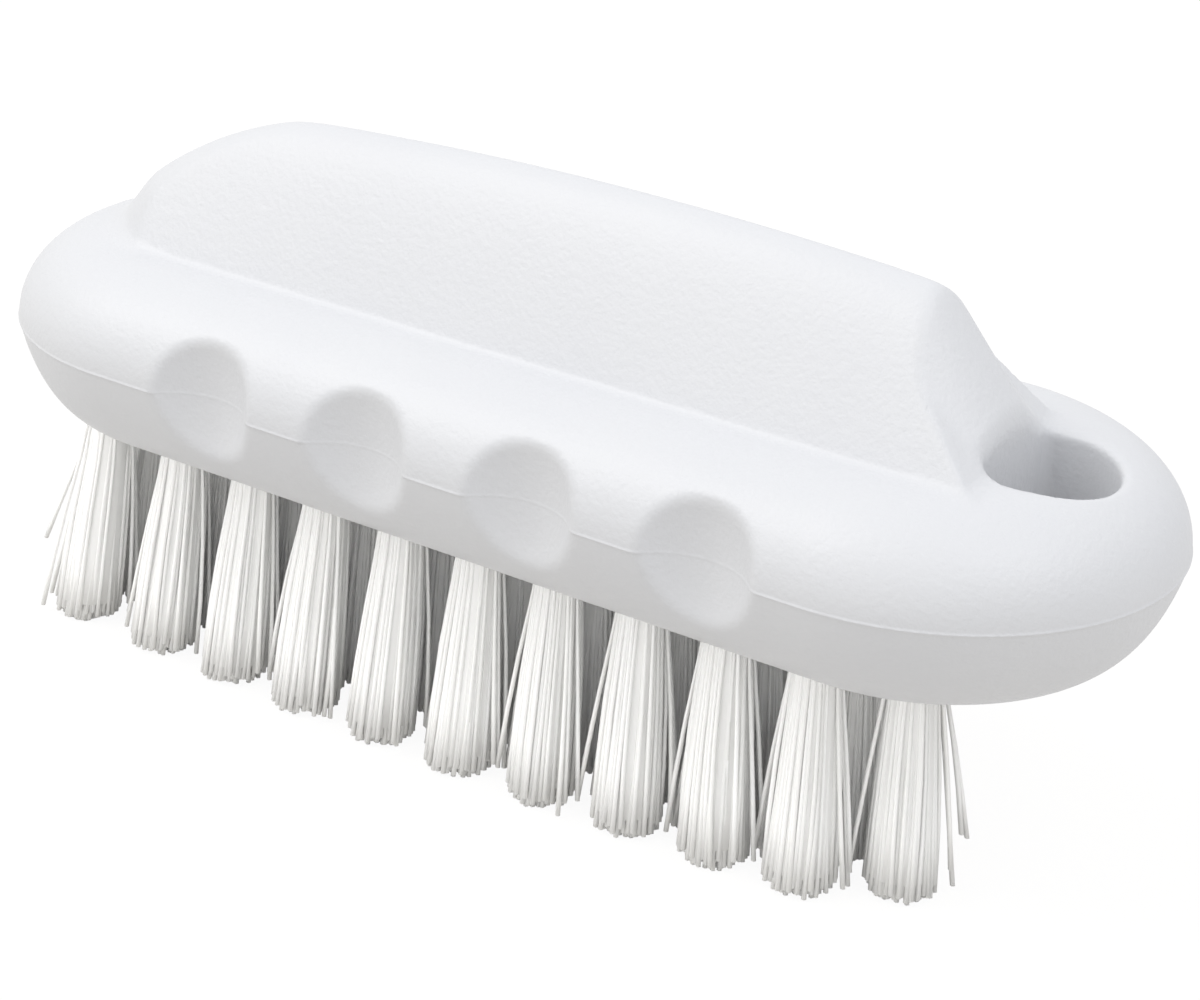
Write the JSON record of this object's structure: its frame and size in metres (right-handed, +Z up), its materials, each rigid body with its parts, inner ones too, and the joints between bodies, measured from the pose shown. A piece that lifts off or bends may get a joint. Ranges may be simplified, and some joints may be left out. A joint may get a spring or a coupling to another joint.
{
  "type": "nail brush",
  "caption": "White nail brush: oblong moulded block with a raised grip ridge, finger scallops and a hang hole, set with rows of stiff bristle tufts for scrubbing fingernails.",
  "frame": {"origin": "middle of the plane of the bristle tips, on which the brush stands", "axes": "+X along the block towards the hang hole, +Y across it, +Z up through the grip ridge"},
  "size_m": [0.13, 0.0482, 0.0597],
  "materials": {
    "block": "fine moulded grain",
    "bristle": "drawn nylon filament",
    "anchor": "flat stainless wire"
  },
  "bodies": {
    "root": {"block": "block", "tuft_01": "bristle", "tuft_02": "bristle", "tuft_03": "bristle", "tuft_04": "bristle", "tuft_05": "bristle", "tuft_06": "bristle", "tuft_07": "bristle", "tuft_08": "bristle", "tuft_09": "bristle", "tuft_10": "bristle", "tuft_11": "bristle", "tuft_12": "bristle", "tuft_13": "bristle", "tuft_14": "bristle", "tuft_15": "bristle", "tuft_16": "bristle", "tuft_17": "bristle", "tuft_18": "bristle", "tuft_19": "bristle", "tuft_20": "bristle", "tuft_21": "bristle", "tuft_22": "bristle", "tuft_23": "bristle", "tuft_24": "bristle", "tuft_25": "bristle", "tuft_26": "bristle", "tuft_27": "bristle", "tuft_28": "bristle", "tuft_29": "bristle", "tuft_30": "bristle", "tuft_31": "bristle", "tuft_32": "bristle", "tuft_33": "bristle", "tuft_34": "bristle", "tuft_35": "bristle", "tuft_36": "bristle", "tuft_37": "bristle", "tuft_38": "bristle", "tuft_39": "bristle", "tuft_40": "bristle", "anchors": "anchor"}
  },
  "joints": []
}
